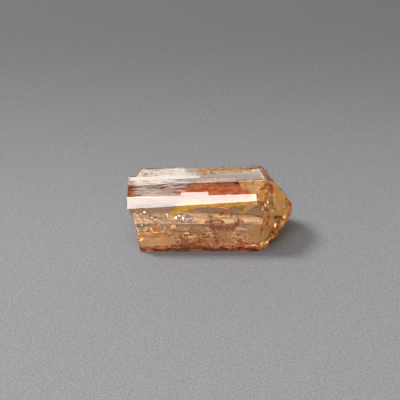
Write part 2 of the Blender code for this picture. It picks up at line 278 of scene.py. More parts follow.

# %% [markdown]
# ## Dark pits and the dark foot
# A few growth pits on the tip are tinted dark, as painted shade in their hollows, and the
# lowest edge of the front, where the stone meets the floor, is tinted dark too, as a painted
# contact shadow. Pits this small could be cut in the mesh, but only their darkness shows. So
# each is a ragged spot of dark tint round a point.

# %% Pits and foot
# Each pit's place and radius in millimetres
PITS = [((7.74, -3.94, 5.73), 0.28), ((8.03, -4.30, 4.90), 0.26), ((8.22, -3.80, 4.35), 0.26),
        ((8.45, -3.20, 4.02), 0.28), ((8.80, -2.70, 3.85), 0.24), ((9.04, -2.07, 3.60), 0.20),
        ((8.03, -3.01, 1.65), 0.36)]
# painted shade: a near-black tint for the shade inside the pits, and a dark red-brown tint for
# the contact shadow along the foot
PIT_SHADE, FOOT_SHADE = (0.02, 0.006, 0.002, 1), (0.07, 0.02, 0.01, 1)
PIT_CORE, PIT_RIM = 0.5, 1.2
RAGGEDNESS = 1.0 * MM
FOOT_TOP = (0.45 * MM, 0.85 * MM)


def painted_pit_and_foot_shade(graph, zones, cloud, skin_tint):
    ragged = (cloud - 0.5) * RAGGEDNESS
    # painted shade: a ragged dark spot round each pit stands in for the shade in its hollow
    for pit, radius in PITS:
        away = graph.vector("DISTANCE", zones.place, Vector(pit) * MM) + ragged
        pitted = 1 - graph.ease(away, radius * PIT_CORE * MM, radius * PIT_RIM * MM)
        skin_tint = graph.blend(pitted, skin_tint, PIT_SHADE)
    # painted contact shadow: the lowest front edge, where the stone meets the floor, is tinted
    # dark
    contact_shade = (1 - graph.ease(zones.height, *FOOT_TOP)) * zones.on_front
    return graph.blend(contact_shade, skin_tint, FOOT_SHADE)


print(len(PITS), "pits on the tip, the widest", max(radius for _, radius in PITS) * 2, "mm")

# %% [markdown]
# ## The finished topaz
# The parts now come together in one shader: full transmission with topaz's index, the stains
# and the painted shade of the pits and foot as its tint, a frost that is heavier on the etched
# and broken faces, and the absorbing volume behind it all. One material does for the whole
# skin, so no seam can show.

# %% The topaz finish
POLISH, TIP_FROST, BREAK_FROST, UNDERSIDE_FROST = 0.02, 0.10, 0.10, 0.08


def new_finish(name):
    """An empty material and its graph."""
    material = bpy.data.materials.new(name)
    material.use_nodes = True
    material.node_tree.nodes.clear()
    return material, Graph(material.node_tree)


def topaz_finish():
    material, graph = new_finish("imperial topaz")
    zones = Zones(graph)
    cloud = graph.noise(zones.place, CLOUD_SIZE, detail=4.0)
    # the skin tint holds the real stains and the painted shade of the pits and the foot
    skin_tint = painted_pit_and_foot_shade(graph, zones, cloud, skin_stains(graph, zones, cloud))
    frost = (POLISH + zones.on_tip * TIP_FROST + zones.on_break * BREAK_FROST
             + zones.underside * UNDERSIDE_FROST)
    surface = graph.node("ShaderNodeBsdfPrincipled", None,
                         {"Base Color": skin_tint, "Roughness": frost, "IOR": TOPAZ_INDEX,
                          "Transmission Weight": 1.0, "Normal": fine_relief(graph, zones)})
    depth = graph.node("ShaderNodeVolumeAbsorption", None,
                       {"Color": BODY_COLOUR, "Density": BODY_DENSITY})
    graph.node("ShaderNodeOutputMaterial", None, {"Surface": surface, "Volume": depth})
    print(material.name, "has", len(material.node_tree.nodes), "nodes")
    return material


TOPAZ = topaz_finish()

# %% [markdown]
# ## A closed copy of the solid
# The solid model's mesh is loose triangles, and it must stay as it is. So a copy is merged
# into one closed mesh, because a clear body with open edges looks wrong. The crystal's skin
# and all that lies under it are made from this copy.

# %% The stone
SAME_POINT = 1e-7


def new_object(name, mesh):
    piece = bpy.data.objects.new(name, mesh)
    bpy.context.scene.collection.objects.link(piece)
    return piece


def open_edges(shape):
    return sum(1 for edge in shape.edges if len(edge.link_faces) != 2)


def merged_copy(node_name, piece_name):
    """The solid's mesh as one closed mesh in a new object."""
    mesh = bpy.data.meshes.new(piece_name)
    shape = bmesh.new()
    shape.from_mesh(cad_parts[node_name].data)
    bmesh.ops.remove_doubles(shape, verts=shape.verts, dist=SAME_POINT)
    shape.to_mesh(mesh)
    print(piece_name, len(mesh.polygons), "faces,", open_edges(shape), "open edges")
    shape.free()
    return new_object(piece_name, mesh)


stone = merged_copy("topaz_crystal", "stone")
stone.data.materials.clear()

# %% [markdown]
# ## Finer faces where the stone is rough
# The tip is etched and the lower front is torn, and both need small faces before anything
# can be cut into them. Subdividing the whole stone would waste faces on its plane sides, so
# only the long edges of the rough faces are halved, three times over. Each pass makes
# triangles again and keeps the mesh closed.

# %% Refine the rough faces
FINE_EDGE = 0.20 * MM
REFINING_PASSES = 3
SLIVER = 0.002 * MM
TIPWARD, DOWNWARD, FORWARD = 0.4, -0.2, -0.2


def is_rough(face):
    """True on the etched tip and on the broken face that leans out over the floor."""
    way = face.normal
    return way.x > TIPWARD or (way.z < DOWNWARD and way.y < FORWARD)


def triangulate(shape):
    bmesh.ops.triangulate(shape, faces=[face for face in shape.faces if len(face.verts) > 3])


def refine(mesh):
    """Splits the long edges of the rough faces, and marks the points that lie among them."""
    shape = bmesh.new()
    shape.from_mesh(mesh)
    for _ in range(REFINING_PASSES):
        rough = [face for face in shape.faces if is_rough(face)]
        too_long = {edge for face in rough for edge in face.edges
                    if edge.calc_length() > FINE_EDGE}
        bmesh.ops.subdivide_edges(shape, edges=sorted(too_long, key=lambda edge: edge.index),
                                  cuts=1, use_grid_fill=True)
        shape.edges.index_update()
        triangulate(shape)
        shape.edges.index_update()
    bmesh.ops.dissolve_degenerate(shape, edges=shape.edges, dist=SLIVER)
    folded = [face for face in shape.faces if any(edge.is_boundary for edge in face.edges)]
    bmesh.ops.delete(shape, geom=folded, context="FACES")
    triangulate(shape)
    share = shape.verts.layers.float.new("rough share")
    for vertex in shape.verts:
        vertex[share] = 1.0 if all(is_rough(face) for face in vertex.link_faces) else 0.0
    print("refined skin", len(shape.faces), "faces,", open_edges(shape), "open edges")
    shape.to_mesh(mesh)
    shape.free()


blank = new_object("blank", stone.data.copy())
refine(blank.data)

# %% [markdown]
# ## From a tree to a plain mesh
# A Geometry Nodes tree is a recipe with named sizes. It is put on a carrier as a modifier,
# its sizes are set by each socket's identifier, and the evaluated result is copied out as a
# plain mesh. The modifier could stay live, but a plain mesh is what an exporter can keep.


# %% Run a tree once
def group_input(tree, name, kind, default=None):
    socket = tree.interface.new_socket(name, in_out="INPUT", socket_type=kind)
    if default is not None:
        socket.default_value = default


def apply_tree(carrier, tree, piece_name, **sizes):
    """Runs the tree on the carrier, and keeps only the plain mesh that it makes."""
    modifier = carrier.modifiers.new("recipe", "NODES")
    modifier.node_group = tree
    sockets = {item.name: item.identifier for item in tree.interface.items_tree
               if item.item_type == "SOCKET" and item.in_out == "INPUT"}
    for name, value in sizes.items():
        modifier[sockets[name.replace("_", " ")]] = value
    evaluated = carrier.evaluated_get(bpy.context.evaluated_depsgraph_get())
    mesh = bpy.data.meshes.new_from_object(evaluated)
    mesh.name = piece_name
    bpy.data.objects.remove(carrier)
    print(piece_name, len(mesh.polygons), "faces")
    return new_object(piece_name, mesh)


print(blank.name, "waits for its tree with", len(blank.data.vertices), "points")

# %% [markdown]
# ## A mosaic of leaning planes
# Growth and later etching leave the tip covered with small planes that lean a little each
# way. Sculpting them would take long and look rounded. A Voronoi pattern splits the skin
# into cells with straight edges, and each cell's random colour serves as the lean of a plane
# through its middle.

# %% Leaning planes
PLANE_LEAN, PLANE_SINK = 2, 0.3


def leaning_planes(graph, position, size, tilt):
    """How deep a mosaic of small leaning planes lies under the skin."""
    cells = graph.node("ShaderNodeTexVoronoi", {"voronoi_dimensions": "3D"},
                       {"Vector": position, "Scale": 1 / size})
    across = graph.vector("SUBTRACT", position, cells.out("Position"))
    lean = graph.vector("SUBTRACT", cells.out("Color"), (0.5, 0.5, 0.5))
    rise = graph.vector("DOT_PRODUCT", across, lean)
    return graph.maths("MAXIMUM", rise * tilt * PLANE_LEAN + size * tilt * PLANE_SINK, 0.0)


print("the middle of a plane sinks by", PLANE_SINK, "of its size times its tilt")

# %% [markdown]
# ## Etched tip and torn ledges
# The tip takes the planes as they are. The torn front shows short ledges along the prism, so
# it takes them from a pattern that is stretched that way, and calms down towards both ends.
# The skin only ever sinks, so the stone never grows past its solid.

# %% The tree that etches the skin
LEDGE_STRETCH = (0.35, 1.0, 1.0)
SMOOTH_SHARE, CALM_SHARE = 0.1, 0.7
TORN_FROM, TORN_FULL = -5.0 * MM, -3.0 * MM
CALM_FROM, CALM_FULL = 4.5 * MM, 6.0 * MM
SKIN_TIP_FACING = (0.30, 0.45)


def etching_tree():
    tree = bpy.data.node_groups.new("etched skin", "GeometryNodeTree")
    group_input(tree, "Stone", "NodeSocketGeometry")
    group_input(tree, "Facet Size", "NodeSocketFloat", 1.7 * MM)
    group_input(tree, "Facet Tilt", "NodeSocketFloat", 0.11)
    group_input(tree, "Ledge Height", "NodeSocketFloat", 0.8 * MM)
    group_input(tree, "Ledge Tilt", "NodeSocketFloat", 0.09)
    group_input(tree, "Finish", "NodeSocketMaterial")
    tree.interface.new_socket("Etched", in_out="OUTPUT", socket_type="NodeSocketGeometry")
    graph = Graph(tree)
    given = graph.node("NodeGroupInput")
    place = graph.node("GeometryNodeInputPosition")
    normal = graph.node("GeometryNodeInputNormal")

    share = graph.node("GeometryNodeInputNamedAttribute", {"data_type": "FLOAT"},
                       {"Name": "rough share"})
    on_tip = graph.ease(graph.part(normal, "X"), *SKIN_TIP_FACING)
    tip_depth = leaning_planes(graph, place, given.out("Facet Size"), given.out("Facet Tilt"))
    along = graph.part(place, "X")
    torn = SMOOTH_SHARE + (1 - SMOOTH_SHARE) * graph.ease(along, TORN_FROM, TORN_FULL) * (
        1 - CALM_SHARE * graph.ease(along, CALM_FROM, CALM_FULL))
    flattened = graph.vector("MULTIPLY", place, LEDGE_STRETCH)
    ledge_depth = leaning_planes(graph, flattened, given.out("Ledge Height"),
                                 given.out("Ledge Tilt")) * torn
    depth = share * (tip_depth * on_tip + ledge_depth * (1 - on_tip))
    etched = graph.node("GeometryNodeSetPosition", None,
                        {"Geometry": given.out("Stone"),
                         "Offset": graph.scaled(normal, 0 - depth)})
    real = graph.node("GeometryNodeRealizeInstances", None, {0: etched})
    finished = graph.node("GeometryNodeSetMaterial", None,
                          {"Geometry": real, "Material": given.out("Finish")})
    graph.node("NodeGroupOutput", None, {0: finished})
    return tree


crystal = apply_tree(blank, etching_tree(), "crystal", Finish=TOPAZ)
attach(crystal, "root")
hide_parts("topaz_crystal")

# %% [markdown]
# ## Veils inside the stone
# A topaz crystal holds healed cracks: curved sheets of tiny flat cavities, some of them
# stained yellow to rust red by iron. Seen through a face they make the red band, the yellow
# feathers and the dark red arcs. A painted plane would look like paper, so each veil is many
# small platelets instead. They are scattered over a ribbon between two smooth edges.


# %% A ribbon for each veil
def smooth_path(points, steps):
    """Points on a smooth curve through the given points."""
    knots = [points[0]] + list(points) + [points[-1]]
    path = []
    for a, b, c, d in zip(knots, knots[1:], knots[2:], knots[3:]):
        for step in range(steps):
            t = step / steps
            path.append(b + ((c - a) * t + (2 * a - 5 * b + 4 * c - d) * t ** 2
                             + (3 * b - a - 3 * c + d) * t ** 3) / 2)
    path.append(points[-1])
    return path


def ribbon(name, near_edge, far_edge, steps=8, rows=8):
    """An open sheet between two smooth edges, which are given in millimetres."""
    near = smooth_path([Vector(point) * MM for point in near_edge], steps)
    far = smooth_path([Vector(point) * MM for point in far_edge], steps)
    places = []
    for a, b in zip(near, far):
        places += [a.lerp(b, row / rows) for row in range(rows + 1)]
    faces = []
    for column in range(len(near) - 1):
        for row in range(rows):
            corner = column * (rows + 1) + row
            faces.append((corner, corner + 1, corner + rows + 2, corner + rows + 1))
    mesh = bpy.data.meshes.new(name)
    mesh.from_pydata(places, [], faces)
    return new_object(name, mesh)


bend = smooth_path([Vector((0, 0, 0)), Vector((1, 1, 0)), Vector((2, 0, 0))], 4)
print("a bend of three points becomes", len(bend), "points, with", bend[2][:2], "among them")

# %% [markdown]
# ## Where platelets lie
# Platelets gather in patches, thin out raggedly towards one end, and sink a random way under
# the sheet. There are too many to place by hand, so a tree scatters them by these rules.
# Those whose middle would come too near the skin are left out: the nearest point of the
# stone tells how much cover each has.

# %% Scatter points over a sheet
PATCH_EDGE = 0.06
RAGGED_END = 6
SINK_SEED, LEAN_SEED, GROWTH_SEED = 3, 5, 7


def scattered_points(graph, given):
    """Random points on the sheet, in patches, sunk under it and well inside the stone."""
    place = graph.node("GeometryNodeInputPosition")
    patches = graph.node("ShaderNodeTexNoise", {"noise_dimensions": "4D"},
                         {"Vector": place, "W": given.out("Seed"),
                          "Scale": 1 / given.out("Patch Size"), "Detail": 2.0})
    openness, fade = given.out("Openness"), given.out("Fade")
    dense = graph.ease(patches, openness - PATCH_EDGE, openness + PATCH_EDGE)
    ragged = (given.out("End X") - graph.part(place, "X")
              + (patches - 0.5) * fade * RAGGED_END)
    dense = dense * graph.ease(ragged, fade * -0.5, fade * 0.5)
    points = graph.node("GeometryNodeDistributePointsOnFaces", {"distribute_method": "RANDOM"},
                        {"Mesh": given.out("Sheet"), "Seed": given.out("Seed"),
                         "Density": dense * given.out("Platelets Per Square Metre")})
    sunk = graph.node("FunctionNodeRandomValue", {"data_type": "FLOAT"},
                      {2: 0 - given.out("Depth") - given.out("Depth Spread"),
                       3: 0 - given.out("Depth"), "Seed": SINK_SEED})
    lowered = graph.node("GeometryNodeSetPosition", None,
                         {"Geometry": points,
                          "Offset": graph.scaled(points.out("Normal"), sunk)})
    body = graph.node("GeometryNodeObjectInfo", None,
                      {"Object": given.out("Stone")}).out("Geometry")
    nearest = graph.node("GeometryNodeProximity", {"target_element": "FACES"}, {0: body})
    skin_normal = graph.node("GeometryNodeSampleNearestSurface", {"data_type": "FLOAT_VECTOR"},
                             {"Mesh": body, "Value": graph.node("GeometryNodeInputNormal")})
    to_skin = graph.vector("SUBTRACT", nearest, graph.node("GeometryNodeInputPosition"))
    cover = graph.vector("DOT_PRODUCT", to_skin, skin_normal)
    too_near = graph.maths("LESS_THAN", cover, given.out("Clearance"))
    kept = graph.node("GeometryNodeDeleteGeometry", {"domain": "POINT"},
                      {"Geometry": lowered, "Selection": too_near})
    return kept, points.out("Rotation")


print("fixed seeds: sinking", SINK_SEED, "leaning", LEAN_SEED, "growth", GROWTH_SEED)

# %% [markdown]
# ## How platelets lie
# Each platelet lies flat on its sheet with its long side along the crystal, as cleavage
# does, and then leans and spins a little at random. Scattering alone would leave the long
# sides pointing anywhere, so each turn is combed before it is leaned.


# %% Comb and lean
def platelet_turns(graph, given, along_sheet):
    """Each platelet's turn: combed along the crystal, tipped, then leaned at random."""
    lean = graph.node("FunctionNodeRandomValue", {"data_type": "FLOAT_VECTOR"},
                      {0: (-1.0, -1.0, -1.0), 1: (1.0, 1.0, 1.0), "Seed": LEAN_SEED})
    most = graph.node("ShaderNodeCombineXYZ", None,
                      {0: given.out("Tilt"), 1: given.out("Tilt"), 2: given.out("Spin")})
    combed = graph.node("FunctionNodeAlignRotationToVector", {"axis": "X", "pivot_axis": "Z"},
                        {0: along_sheet, "Vector": (1.0, 0.0, 0.0)})
    level = graph.node("ShaderNodeCombineXYZ", None, {0: given.out("Lean"), 1: 0.0, 2: 0.0})
    tipped = graph.node("FunctionNodeRotateRotation", {"rotation_space": "GLOBAL"},
                        {0: combed, 1: level})
    return graph.node("FunctionNodeRotateRotation", {"rotation_space": "LOCAL"},
                      {0: tipped, 1: graph.vector("MULTIPLY", lean, most)})


print("turns: combed along X, tipped round X, then leaned at random")

# %% [markdown]
# ## The platelet tree
# A platelet is a closed slab with only four sides, because a shape that is repeated by the
# thousand should have few faces. The tree puts one on each point, turned and grown, and makes
# them real, so that a plain mesh comes out. It has an input for each size that may change.

# %% The tree that scatters platelets
SLAB_SIDES = 4
SMALLEST, BIGGEST = 0.5, 1.5


def platelet_tree():
    tree = bpy.data.node_groups.new("platelets on a sheet", "GeometryNodeTree")
    group_input(tree, "Sheet", "NodeSocketGeometry")
    group_input(tree, "Platelet Size", "NodeSocketFloat", 0.12 * MM)
    group_input(tree, "Thickness", "NodeSocketFloat", 0.02 * MM)
    group_input(tree, "Platelets Per Square Metre", "NodeSocketFloat", 4.0e7)
    group_input(tree, "Patch Size", "NodeSocketFloat", 1.2 * MM)
    group_input(tree, "Openness", "NodeSocketFloat", 0.45)
    group_input(tree, "Tilt", "NodeSocketFloat", 0.5)
    group_input(tree, "Depth", "NodeSocketFloat", 0.0)
    group_input(tree, "Depth Spread", "NodeSocketFloat", 0.0)
    group_input(tree, "Clearance", "NodeSocketFloat", 0.16 * MM)
    group_input(tree, "Stone", "NodeSocketObject")
    group_input(tree, "Stretch", "NodeSocketFloat", 1.0)
    group_input(tree, "Spin", "NodeSocketFloat", math.pi)
    group_input(tree, "Lean", "NodeSocketFloat", 0.0)
    group_input(tree, "End X", "NodeSocketFloat", 1.0)
    group_input(tree, "Fade", "NodeSocketFloat", 1.0 * MM)
    group_input(tree, "Seed", "NodeSocketInt", 1)
    group_input(tree, "Finish", "NodeSocketMaterial")
    tree.interface.new_socket("Platelets", in_out="OUTPUT", socket_type="NodeSocketGeometry")
    graph = Graph(tree)
    given = graph.node("NodeGroupInput")
    points, along_sheet = scattered_points(graph, given)
    slab = graph.node("GeometryNodeMeshCylinder", {"fill_type": "NGON"},
                      {"Vertices": SLAB_SIDES, "Radius": given.out("Platelet Size") / 2,
                       "Depth": given.out("Thickness")})
    grown = graph.node("FunctionNodeRandomValue", {"data_type": "FLOAT"},
                       {2: SMALLEST, 3: BIGGEST, "Seed": GROWTH_SEED})
    size = graph.node("ShaderNodeCombineXYZ", None,
                      {0: grown * given.out("Stretch"), 1: grown, 2: 1.0})
    placed = graph.node("GeometryNodeInstanceOnPoints", None,
                        {"Points": points, "Instance": slab, "Scale": size,
                         "Rotation": platelet_turns(graph, given, along_sheet)})
    real = graph.node("GeometryNodeRealizeInstances", None, {0: placed})
    finished = graph.node("GeometryNodeSetMaterial", None,
                          {"Geometry": real, "Material": given.out("Finish")})
    graph.node("NodeGroupOutput", None, {0: finished})
    return tree


PLATELETS = platelet_tree()
print(PLATELETS.name, "has", len(PLATELETS.nodes), "nodes")

# %% [markdown]
# ## Finishes for veils and flakes
# Iron stains a healed crack unevenly, rust red where it is thick and yellow where it is
# thin, while a fresh cleavage flake is white or flashes like a mirror. One flat colour would
# look like cut paper. So all of them are one recipe: two colours that mix in clouds and
# specks, with a grain in the gloss.

# %% The colours of the flakes
STAIN_CLOUD = 0.7 * MM
STAIN_SPECK = 0.12 * MM
SPECK_SHARE = 0.3
STAIN_SPLIT = (0.38, 0.62)
VEIL_INDEX = 1.5


def veil_finish(name, deep, pale, metallic=0.0, frost=0.25):
    material, graph = new_finish(name)
    place = graph.node("ShaderNodeTexCoord").out("Object")
    cloud = graph.noise(place, STAIN_CLOUD, detail=3.0)
    speck = graph.noise(place, STAIN_SPECK, detail=1.0)
    stained = cloud * (1 - SPECK_SHARE) + speck * SPECK_SHARE
    amount = graph.ease(stained, *STAIN_SPLIT)
    surface = graph.node("ShaderNodeBsdfPrincipled", None,
                         {"Base Color": graph.blend(amount, (*deep, 1.0), (*pale, 1.0)),
                          "Roughness": frost + speck * frost, "IOR": VEIL_INDEX,
                          "Metallic": metallic})
    graph.node("ShaderNodeOutputMaterial", None, {"Surface": surface})
    return material


RED_VEIL = veil_finish("rust red veil", (0.62, 0.12, 0.03), (0.90, 0.36, 0.12))
AMBER_VEIL = veil_finish("amber veil", (0.82, 0.42, 0.02), (0.96, 0.68, 0.08))
WHITE_FLAKE = veil_finish("white cleavage flakes", (0.98, 0.97, 0.96), (1.0, 1.0, 1.0))
GOLD_FLAKE = veil_finish("golden flakes", (0.90, 0.50, 0.16), (0.98, 0.82, 0.50))
SALMON_FLAKE = veil_finish("salmon flakes", (1.0, 0.72, 0.52), (1.0, 0.97, 0.90))
STRAW_FLAKE = veil_finish("straw yellow flakes", (1.0, 0.90, 0.60), (1.0, 1.0, 0.85))
HONEY_FLAKE = veil_finish("honey flakes", (1.0, 0.66, 0.20), (1.0, 0.92, 0.50))
CREAM_FLAKE = veil_finish("cream flakes", (1.0, 0.78, 0.60), (1.0, 0.97, 0.90))
SPARKLE = veil_finish("bright cleavage flakes", (0.95, 0.88, 0.80), (1.0, 0.98, 0.95),
                      metallic=1.0, frost=0.1)
print(len(bpy.data.materials), "finishes so far")

# %% [markdown]
# ## The band and the feathers
# The red band lies level under the upper faces, with gold where it ends, and yellow feathers
# hang behind the bright bevel. A function for each would repeat itself. So each is a row of a
# table: its finish, seed, near edge, far edge and sizes.

# %% Red band and yellow feathers
# Two kinds of platelet that the rows start from
BIG = dict(Platelet_Size=0.22 * MM, Platelets_Per_Square_Metre=6.0e7, Openness=0.38,
           Stretch=2.2)
FINE = dict(Platelet_Size=0.15 * MM, Platelets_Per_Square_Metre=1.2e8, Openness=0.36,
            Stretch=1.5)
BAND_AND_FEATHERS = {
    "red_band_veil": (
        RED_VEIL, 11,
        [(-7.0, -3.9, 6.9), (-3.0, -4.1, 6.7), (1.5, -4.3, 6.8), (5.2, -4.1, 7.1)],
        [(-6.0, -1.9, 6.5), (-3.0, -1.4, 6.6), (1.5, -1.2, 6.3), (4.8, -1.6, 6.6)],
        BIG),
    "amber_end_veil": (
        GOLD_FLAKE, 34,
        [(4.5, -4.9, 6.9), (5.6, -4.8, 6.9), (6.6, -4.6, 6.9)],
        [(3.6, -0.9, 6.9), (5.3, -0.9, 7.1), (6.8, -1.0, 7.3)],
        dict(FINE, Openness=0.40, Patch_Size=1.0 * MM)),
    "yellow_crescent_veil": (
        AMBER_VEIL, 12,
        [(-5.2, -5.9, 5.7), (-4.2, -5.9, 5.9), (-3.0, -5.9, 6.3), (-1.6, -5.9, 6.9)],
        [(-5.2, -5.5, 6.0), (-4.3, -5.3, 6.9), (-3.2, -5.2, 7.4), (-1.6, -5.3, 7.4)],
        FINE),
    "yellow_feather_veil": (
        AMBER_VEIL, 13,
        [(3.7, -5.9, 5.5), (4.6, -5.9, 6.1), (5.8, -5.8, 7.0)],
        [(3.3, -5.4, 6.4), (4.0, -5.3, 7.0), (5.2, -5.3, 7.7)],
        dict(FINE, Openness=0.42)),
    "bright_feather_veil": (
        GOLD_FLAKE, 18,
        [(3.9, -6.1, 5.9), (4.8, -6.1, 6.5), (5.7, -6.1, 7.2)],
        [(3.8, -6.0, 6.1), (4.6, -6.0, 6.8), (5.5, -6.0, 7.5)],
        dict(FINE, Openness=0.40, Stretch=3.0)),
}


def make_veil(name, finish, seed, near_edge, far_edge, sizes):
    sheet = ribbon(name + "_sheet", near_edge, far_edge)
    veil = apply_tree(sheet, PLATELETS, name, Finish=finish, Seed=seed, Stone=stone, **sizes)
    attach(veil, "root")


for veil_name, row in BAND_AND_FEATHERS.items():
    make_veil(veil_name, *row)

# %% [markdown]
# ## The glowing veils
# Low in the stone, pale sheets slope up and back. They catch the softboxes and shine through
# the lower front as salmon, straw and cream, and through the tip as honey. A light inside the
# stone would glow from every side. Sloping pale flakes glow only where real ones would.

# %% Salmon, straw, cream and honey
GLOWING_VEILS = {
    "salmon_glow_veil": (
        SALMON_FLAKE, 31,
        [(-9.2, -4.7, 0.9), (-7.0, -4.7, 0.8), (-4.8, -4.7, 1.1)],
        [(-9.0, -0.5, 2.4), (-7.0, 0.0, 2.6), (-5.4, -0.6, 2.3)],
        dict(BIG, Platelets_Per_Square_Metre=9.0e7, Openness=0.40, Patch_Size=1.6 * MM)),
    "straw_glow_veil": (
        STRAW_FLAKE, 32,
        [(4.6, -4.4, 1.2), (5.8, -4.2, 1.2), (7.0, -3.6, 1.5)],
        [(4.9, -0.8, 2.7), (5.9, -0.6, 2.8), (7.0, -0.6, 2.8)],
        dict(BIG, Platelets_Per_Square_Metre=9.0e7, Openness=0.38, Patch_Size=1.6 * MM)),
    "cream_cloud_veil": (
        CREAM_FLAKE, 35,
        [(-4.8, -4.7, 1.0), (0.0, -4.6, 0.9), (4.6, -4.4, 1.2)],
        [(-5.2, -0.6, 2.4), (0.0, -0.4, 2.6), (4.8, -0.7, 2.7)],
        dict(BIG, Platelets_Per_Square_Metre=7.0e7, Openness=0.57, Patch_Size=0.8 * MM)),
    "tip_glow_veil": (
        HONEY_FLAKE, 33,
        [(6.8, -3.4, 3.4), (8.2, -2.6, 3.4), (9.6, -1.2, 3.6)],
        [(6.8, 2.0, 6.4), (8.0, 1.6, 6.0), (9.2, 0.8, 5.2)],
        dict(BIG, Platelets_Per_Square_Metre=8.0e7, Openness=0.46, Patch_Size=0.9 * MM)),
}
for veil_name, row in GLOWING_VEILS.items():
    make_veil(veil_name, *row)

# %% [markdown]
# ## The rust ring
# Behind the front face a broken ring of rust goes round a clear window, with a darker patch
# at its foot, and a thin line of ochre follows the bevel's lower edge. The ring's two edges
# are ovals round one centre. Points typed by hand would never be so even.

# %% The ring round the clear window
RING_CENTRE = (1.45, -5.7, 4.8)


def ring(half_width, half_height, first, last, steps=9):
    """Points in millimetres along an oval round the clear window in the front face."""
    across, depth, up = RING_CENTRE
    turns = [math.radians(first + (last - first) * step / steps) for step in range(steps + 1)]
    return [(across + half_width * math.cos(turn), depth, up + half_height * math.sin(turn))
            for turn in turns]


RING_AND_EDGE = {
    "ochre_edge_veil": (
        AMBER_VEIL, 17,
        [(-1.9, -6.0, 6.8), (1.5, -6.0, 6.9), (5.4, -6.0, 7.0)],
        [(-1.9, -5.5, 7.2), (1.5, -5.5, 7.4), (5.4, -5.5, 7.6)],
        dict(FINE, Openness=0.42)),
    "red_ring_veil": (
        RED_VEIL, 14, ring(1.5, 0.9, 190, -150), ring(2.25, 1.5, 190, -150),
        dict(FINE, Openness=0.47, Depth_Spread=0.3 * MM, Patch_Size=0.7 * MM)),
    "dark_red_veil": (
        RED_VEIL, 15,
        [(0.4, -5.9, 3.8), (1.4, -5.9, 3.6), (2.4, -5.9, 3.8)],
        [(0.4, -5.0, 3.9), (1.4, -5.0, 4.0), (2.4, -5.0, 4.0)],
        FINE),
}
for veil_name, row in RING_AND_EDGE.items():
    make_veil(veil_name, *row)

# %% [markdown]
# ## A sheet cut from the skin
# Cleavage flakes lie close under the surface and follow it. A ribbon between two edges would
# stick out where the skin is ragged. So their sheet is a piece of the stone's own skin: the
# faces that look the right way, cut off at the sides of a box.


# %% Cut a patch of skin
def skin_patch(name, low, high, facing, least):
    """The part of the crystal's skin inside a box, given in millimetres, as an open sheet."""
    shape = bmesh.new()
    shape.from_mesh(stone.data)
    turned = [face for face in shape.faces if face.normal.dot(Vector(facing)) < least]
    bmesh.ops.delete(shape, geom=turned, context="FACES")
    for axis in range(3):
        for corner, sign in ((low, -1), (high, 1)):
            out = Vector((0, 0, 0))
            out[axis] = sign
            bmesh.ops.bisect_plane(shape, geom=shape.verts[:] + shape.edges[:] + shape.faces[:],
                                   plane_co=Vector(corner) * MM, plane_no=out,
                                   clear_outer=True)
    mesh = bpy.data.meshes.new(name)
    shape.to_mesh(mesh)
    shape.free()
    return new_object(name, mesh)


print("a patch is cut from the", len(stone.data.polygons), "faces of the stone")

# %% [markdown]
# ## Flakes under the skin
# The torn crest is white with cleavage flakes, which fade to gold towards the tip. Mirror
# bright ones sparkle behind the front face, and thin ones follow the growth lines. White
# paint would look flat, so the tree that made the veils makes these too. Each is a row of a
# table again: finish, seed, box, direction, how squarely a face must look that way, sizes.

# %% Crest, sparkles and growth lines
PATCHES = {
    "crest_flakes": (
        WHITE_FLAKE, 21, (-10.6, -0.6, 6.4), (-1.5, 5.0, 9.0), (0, 0, 1), 0.2,
        dict(Platelet_Size=0.24 * MM, Platelets_Per_Square_Metre=2.6e8, Openness=0.32,
             Depth=0.16 * MM, Depth_Spread=0.12 * MM, Tilt=0.30, Clearance=0.15 * MM,
             Thickness=0.012 * MM, End_X=-3.6 * MM, Fade=1.0 * MM, Patch_Size=0.9 * MM)),
    "crest_gold_flakes": (
        GOLD_FLAKE, 28, (-3.0, 0.8, 6.4), (6.2, 5.0, 9.0), (0, 0.3, 1), 0.2,
        dict(Platelet_Size=0.22 * MM, Platelets_Per_Square_Metre=5.0e7, Openness=0.46,
             Depth=0.2 * MM, Depth_Spread=0.3 * MM, Tilt=0.4, Stretch=2.0, Spin=0.3,
             End_X=5.0 * MM, Fade=0.9 * MM, Patch_Size=0.9 * MM)),
    "sparkle_patch": (
        SPARKLE, 24, (-4.6, -6.5, 4.7), (-2.4, -6.0, 5.9), (0, -1, 0), 0.8,
        dict(Platelet_Size=0.22 * MM, Platelets_Per_Square_Metre=6.0e7, Openness=0.44,
             Depth=0.2 * MM, Depth_Spread=0.2 * MM, Tilt=0.25, Lean=-0.42,
             Patch_Size=0.6 * MM)),
    "growth_line_flakes": (
        WHITE_FLAKE, 26, (-9.9, -6.0, 6.2), (-3.0, -0.8, 9.0), (0, 0, 1), 0.9,
        dict(Platelet_Size=0.07 * MM, Platelets_Per_Square_Metre=3.4e7, Openness=0.46,
             Depth=0.15 * MM, Depth_Spread=0.1 * MM, Tilt=0.04, Clearance=0.10 * MM,
             Stretch=16.0, Spin=0.0, End_X=-5.8 * MM, Fade=1.2 * MM, Patch_Size=0.35 * MM)),
    "left_sparkles": (
        SPARKLE, 25, (-9.6, -6.5, 3.4), (-5.6, -6.0, 6.2), (0, -1, 0), 0.8,
        dict(Platelet_Size=0.17 * MM, Platelets_Per_Square_Metre=4.5e7, Openness=0.50,
             Depth=0.2 * MM, Depth_Spread=0.4 * MM, Tilt=0.25, Lean=-0.42,
             Patch_Size=0.5 * MM)),
}
for patch_name, (finish, seed, low, high, facing, least, sizes) in PATCHES.items():
    patch = skin_patch(patch_name + "_sheet", low, high, facing, least)
    flakes = apply_tree(patch, PLATELETS, patch_name,
                        Finish=finish, Seed=seed, Stone=stone, **sizes)
    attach(flakes, "root")
bpy.data.objects.remove(stone)

